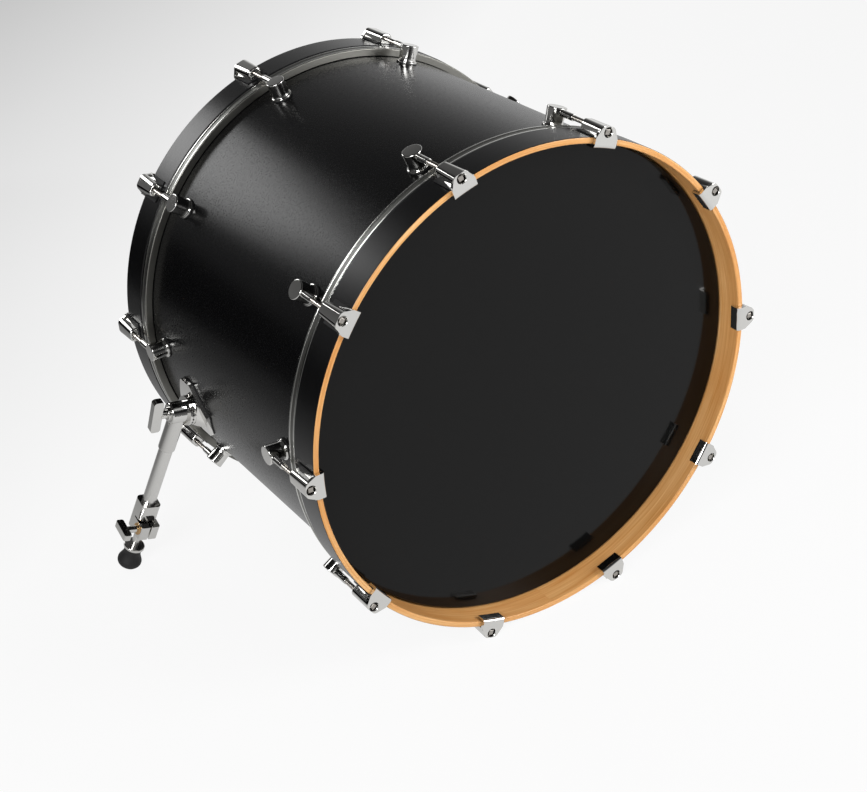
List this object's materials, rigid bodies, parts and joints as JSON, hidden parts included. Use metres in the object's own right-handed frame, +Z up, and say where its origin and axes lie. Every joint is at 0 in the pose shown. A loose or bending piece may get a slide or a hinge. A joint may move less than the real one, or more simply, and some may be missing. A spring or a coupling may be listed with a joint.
{
  "type": "bass drum with fitted heads",
  "caption": "Wooden bass drum lying on its hoops, with a tensioned head at each end, claw hooks with key rods, turret lugs and folding, extending spurs with rubber feet.",
  "frame": {"origin": "on the floor, under the middle of the drum", "axes": "+Z up; the drum's axis lies along Y, with the batter head at -Y; +X to the drum's right as seen from the batter side"},
  "size_m": [0.773, 0.4784, 0.5788],
  "materials": {
    "black_lacquer_wood": "satin black lacquer",
    "hoop_maple": "clear maple edge and inside, black outside",
    "black_film": "gloss",
    "rim_aluminium": "bare",
    "rim_resin": "cast",
    "chrome_casting": "polished plating",
    "chrome_steel": "polished plating",
    "brass": "plain",
    "satin_steel": "satin plating",
    "zinc_steel": "zinc plating",
    "black_rubber": "moulded"
  },
  "bodies": {
    "drum": {"shell": "black_lacquer_wood", "batter_inner_ply": "black_film", "batter_outer_ply": "black_film", "resonant_film": "black_film", "batter_head_rim": "rim_aluminium", "resonant_head_rim": "rim_aluminium", "resin_beads": "rim_resin", "lugs": "chrome_casting", "lug_gaskets": "black_rubber", "receiver_nuts": "chrome_steel", "lug_screws": "zinc_steel", "lug_washers": "zinc_steel", "spur_gaskets": "black_rubber", "bracket_screws": "zinc_steel", "left_bracket": "chrome_casting", "right_bracket": "chrome_casting"},
    "batter_ring": {"batter_hoop": "hoop_maple", "batter_claws": "chrome_casting", "batter_claw_pads": "black_rubber"},
    "batter_rod_01": {"batter_rod_01": "chrome_steel"},
    "batter_rod_02": {"batter_rod_02": "chrome_steel"},
    "batter_rod_03": {"batter_rod_03": "chrome_steel"},
    "batter_rod_04": {"batter_rod_04": "chrome_steel"},
    "batter_rod_05": {"batter_rod_05": "chrome_steel"},
    "batter_rod_06": {"batter_rod_06": "chrome_steel"},
    "batter_rod_07": {"batter_rod_07": "chrome_steel"},
    "batter_rod_08": {"batter_rod_08": "chrome_steel"},
    "batter_rod_09": {"batter_rod_09": "chrome_steel"},
    "batter_rod_10": {"batter_rod_10": "chrome_steel"},
    "resonant_ring": {"resonant_hoop": "hoop_maple", "resonant_claws": "chrome_casting", "resonant_claw_pads": "black_rubber"},
    "resonant_rod_01": {"resonant_rod_01": "chrome_steel"},
    "resonant_rod_02": {"resonant_rod_02": "chrome_steel"},
    "resonant_rod_03": {"resonant_rod_03": "chrome_steel"},
    "resonant_rod_04": {"resonant_rod_04": "chrome_steel"},
    "resonant_rod_05": {"resonant_rod_05": "chrome_steel"},
    "resonant_rod_06": {"resonant_rod_06": "chrome_steel"},
    "resonant_rod_07": {"resonant_rod_07": "chrome_steel"},
    "resonant_rod_08": {"resonant_rod_08": "chrome_steel"},
    "resonant_rod_09": {"resonant_rod_09": "chrome_steel"},
    "resonant_rod_10": {"resonant_rod_10": "chrome_steel"},
    "left_leg": {"left_leg_socket": "chrome_casting", "left_leg_tube": "satin_steel", "left_leg_clamp": "chrome_casting"},
    "left_slider": {"left_leg_rod": "satin_steel"},
    "left_foot": {"left_foot_collar": "chrome_casting", "left_rubber_foot": "black_rubber"},
    "left_t_bolt": {"left_t_bolt": "chrome_steel"},
    "left_clamp_screw": {"left_clamp_screw": "chrome_steel", "left_clamp_washer": "brass"},
    "right_leg": {"right_leg_socket": "chrome_casting", "right_leg_tube": "satin_steel", "right_leg_clamp": "chrome_casting"},
    "right_slider": {"right_leg_rod": "satin_steel"},
    "right_foot": {"right_foot_collar": "chrome_casting", "right_rubber_foot": "black_rubber"},
    "right_t_bolt": {"right_t_bolt": "chrome_steel"},
    "right_clamp_screw": {"right_clamp_screw": "chrome_steel", "right_clamp_washer": "brass"}
  },
  "joints": [
    {"name": "batter_tension", "type": "slide", "parent": "drum", "child": "batter_ring", "axis": [0, -1, 0], "range_m": [0, 0.012]},
    {"name": "batter_rod_01_turn", "type": "hinge", "parent": "batter_ring", "child": "batter_rod_01", "pos_m": [0.09156, -0.21, 0.5712], "axis": [0, -1, 0], "range_deg": [0, 4100]},
    {"name": "batter_rod_02_turn", "type": "hinge", "parent": "batter_ring", "child": "batter_rod_02", "pos_m": [0.23971, -0.21, 0.46356], "axis": [0, -1, 0], "range_deg": [0, 4100]},
    {"name": "batter_rod_03_turn", "type": "hinge", "parent": "batter_ring", "child": "batter_rod_03", "pos_m": [0.2963, -0.21, 0.2894], "axis": [0, -1, 0], "range_deg": [0, 4100]},
    {"name": "batter_rod_04_turn", "type": "hinge", "parent": "batter_ring", "child": "batter_rod_04", "pos_m": [0.23971, -0.21, 0.11524], "axis": [0, -1, 0], "range_deg": [0, 4100]},
    {"name": "batter_rod_05_turn", "type": "hinge", "parent": "batter_ring", "child": "batter_rod_05", "pos_m": [0.09156, -0.21, 0.0076], "axis": [0, -1, 0], "range_deg": [0, 4100]},
    {"name": "batter_rod_06_turn", "type": "hinge", "parent": "batter_ring", "child": "batter_rod_06", "pos_m": [-0.09156, -0.21, 0.0076], "axis": [0, -1, 0], "range_deg": [0, 4100]},
    {"name": "batter_rod_07_turn", "type": "hinge", "parent": "batter_ring", "child": "batter_rod_07", "pos_m": [-0.23971, -0.21, 0.11524], "axis": [0, -1, 0], "range_deg": [0, 4100]},
    {"name": "batter_rod_08_turn", "type": "hinge", "parent": "batter_ring", "child": "batter_rod_08", "pos_m": [-0.2963, -0.21, 0.2894], "axis": [0, -1, 0], "range_deg": [0, 4100]},
    {"name": "batter_rod_09_turn", "type": "hinge", "parent": "batter_ring", "child": "batter_rod_09", "pos_m": [-0.23971, -0.21, 0.46356], "axis": [0, -1, 0], "range_deg": [0, 4100]},
    {"name": "batter_rod_10_turn", "type": "hinge", "parent": "batter_ring", "child": "batter_rod_10", "pos_m": [-0.09156, -0.21, 0.5712], "axis": [0, -1, 0], "range_deg": [0, 4100]},
    {"name": "resonant_tension", "type": "slide", "parent": "drum", "child": "resonant_ring", "axis": [0, 1, 0], "range_m": [0, 0.012]},
    {"name": "resonant_rod_01_turn", "type": "hinge", "parent": "resonant_ring", "child": "resonant_rod_01", "pos_m": [-0.09156, 0.21, 0.5712], "axis": [0, 1, 0], "range_deg": [0, 4100]},
    {"name": "resonant_rod_02_turn", "type": "hinge", "parent": "resonant_ring", "child": "resonant_rod_02", "pos_m": [-0.23971, 0.21, 0.46356], "axis": [0, 1, 0], "range_deg": [0, 4100]},
    {"name": "resonant_rod_03_turn", "type": "hinge", "parent": "resonant_ring", "child": "resonant_rod_03", "pos_m": [-0.2963, 0.21, 0.2894], "axis": [0, 1, 0], "range_deg": [0, 4100]},
    {"name": "resonant_rod_04_turn", "type": "hinge", "parent": "resonant_ring", "child": "resonant_rod_04", "pos_m": [-0.23971, 0.21, 0.11524], "axis": [0, 1, 0], "range_deg": [0, 4100]},
    {"name": "resonant_rod_05_turn", "type": "hinge", "parent": "resonant_ring", "child": "resonant_rod_05", "pos_m": [-0.09156, 0.21, 0.0076], "axis": [0, 1, 0], "range_deg": [0, 4100]},
    {"name": "resonant_rod_06_turn", "type": "hinge", "parent": "resonant_ring", "child": "resonant_rod_06", "pos_m": [0.09156, 0.21, 0.0076], "axis": [0, 1, 0], "range_deg": [0, 4100]},
    {"name": "resonant_rod_07_turn", "type": "hinge", "parent": "resonant_ring", "child": "resonant_rod_07", "pos_m": [0.23971, 0.21, 0.11524], "axis": [0, 1, 0], "range_deg": [0, 4100]},
    {"name": "resonant_rod_08_turn", "type": "hinge", "parent": "resonant_ring", "child": "resonant_rod_08", "pos_m": [0.2963, 0.21, 0.2894], "axis": [0, 1, 0], "range_deg": [0, 4100]},
    {"name": "resonant_rod_09_turn", "type": "hinge", "parent": "resonant_ring", "child": "resonant_rod_09", "pos_m": [0.23971, 0.21, 0.46356], "axis": [0, 1, 0], "range_deg": [0, 4100]},
    {"name": "resonant_rod_10_turn", "type": "hinge", "parent": "resonant_ring", "child": "resonant_rod_10", "pos_m": [0.09156, 0.21, 0.5712], "axis": [0, 1, 0], "range_deg": [0, 4100]},
    {"name": "left_spur_swing", "type": "hinge", "parent": "drum", "child": "left_leg", "pos_m": [-0.29671, 0.099, 0.22892], "axis": [-0.9848, 0, 0.1736], "range_deg": [-20, 100]},
    {"name": "left_leg_extension", "type": "slide", "parent": "left_leg", "child": "left_slider", "axis": [-0.2977, 0.2839, -0.9115], "range_m": [0, 0.07]},
    {"name": "left_foot_retract", "type": "slide", "parent": "left_slider", "child": "left_foot", "axis": [0.2977, -0.2839, 0.9115], "range_m": [0, 0.008]},
    {"name": "left_t_bolt_turn", "type": "hinge", "parent": "drum", "child": "left_t_bolt", "pos_m": [-0.29671, 0.099, 0.22892], "axis": [-0.9848, 0, 0.1736], "range_deg": [0, 360]},
    {"name": "left_clamp_screw_turn", "type": "hinge", "parent": "left_leg", "child": "left_clamp_screw", "pos_m": [-0.34951, 0.13528, 0.06541], "axis": [-0.9534, -0.0386, 0.2993], "range_deg": [0, 360]},
    {"name": "right_spur_swing", "type": "hinge", "parent": "drum", "child": "right_leg", "pos_m": [0.29671, 0.099, 0.22892], "axis": [-0.9848, 0, -0.1736], "range_deg": [-20, 100]},
    {"name": "right_leg_extension", "type": "slide", "parent": "right_leg", "child": "right_slider", "axis": [0.2977, 0.2839, -0.9115], "range_m": [0, 0.07]},
    {"name": "right_foot_retract", "type": "slide", "parent": "right_slider", "child": "right_foot", "axis": [-0.2977, -0.2839, 0.9115], "range_m": [0, 0.008]},
    {"name": "right_t_bolt_turn", "type": "hinge", "parent": "drum", "child": "right_t_bolt", "pos_m": [0.29671, 0.099, 0.22892], "axis": [0.9848, 0, 0.1736], "range_deg": [0, 360]},
    {"name": "right_clamp_screw_turn", "type": "hinge", "parent": "right_leg", "child": "right_clamp_screw", "pos_m": [0.34951, 0.13528, 0.06541], "axis": [0.9534, -0.0386, 0.2993], "range_deg": [0, 360]}
  ],
  "couplings": [
    {"joint": "batter_rod_01_turn", "follows": "batter_tension", "rad_per_m": 5937.1},
    {"joint": "batter_rod_02_turn", "follows": "batter_tension", "rad_per_m": 5937.1},
    {"joint": "batter_rod_03_turn", "follows": "batter_tension", "rad_per_m": 5937.1},
    {"joint": "batter_rod_04_turn", "follows": "batter_tension", "rad_per_m": 5937.1},
    {"joint": "batter_rod_05_turn", "follows": "batter_tension", "rad_per_m": 5937.1},
    {"joint": "batter_rod_06_turn", "follows": "batter_tension", "rad_per_m": 5937.1},
    {"joint": "batter_rod_07_turn", "follows": "batter_tension", "rad_per_m": 5937.1},
    {"joint": "batter_rod_08_turn", "follows": "batter_tension", "rad_per_m": 5937.1},
    {"joint": "batter_rod_09_turn", "follows": "batter_tension", "rad_per_m": 5937.1},
    {"joint": "batter_rod_10_turn", "follows": "batter_tension", "rad_per_m": 5937.1},
    {"joint": "resonant_rod_01_turn", "follows": "resonant_tension", "rad_per_m": 5937.1},
    {"joint": "resonant_rod_02_turn", "follows": "resonant_tension", "rad_per_m": 5937.1},
    {"joint": "resonant_rod_03_turn", "follows": "resonant_tension", "rad_per_m": 5937.1},
    {"joint": "resonant_rod_04_turn", "follows": "resonant_tension", "rad_per_m": 5937.1},
    {"joint": "resonant_rod_05_turn", "follows": "resonant_tension", "rad_per_m": 5937.1},
    {"joint": "resonant_rod_06_turn", "follows": "resonant_tension", "rad_per_m": 5937.1},
    {"joint": "resonant_rod_07_turn", "follows": "resonant_tension", "rad_per_m": 5937.1},
    {"joint": "resonant_rod_08_turn", "follows": "resonant_tension", "rad_per_m": 5937.1},
    {"joint": "resonant_rod_09_turn", "follows": "resonant_tension", "rad_per_m": 5937.1},
    {"joint": "resonant_rod_10_turn", "follows": "resonant_tension", "rad_per_m": 5937.1}
  ]
}
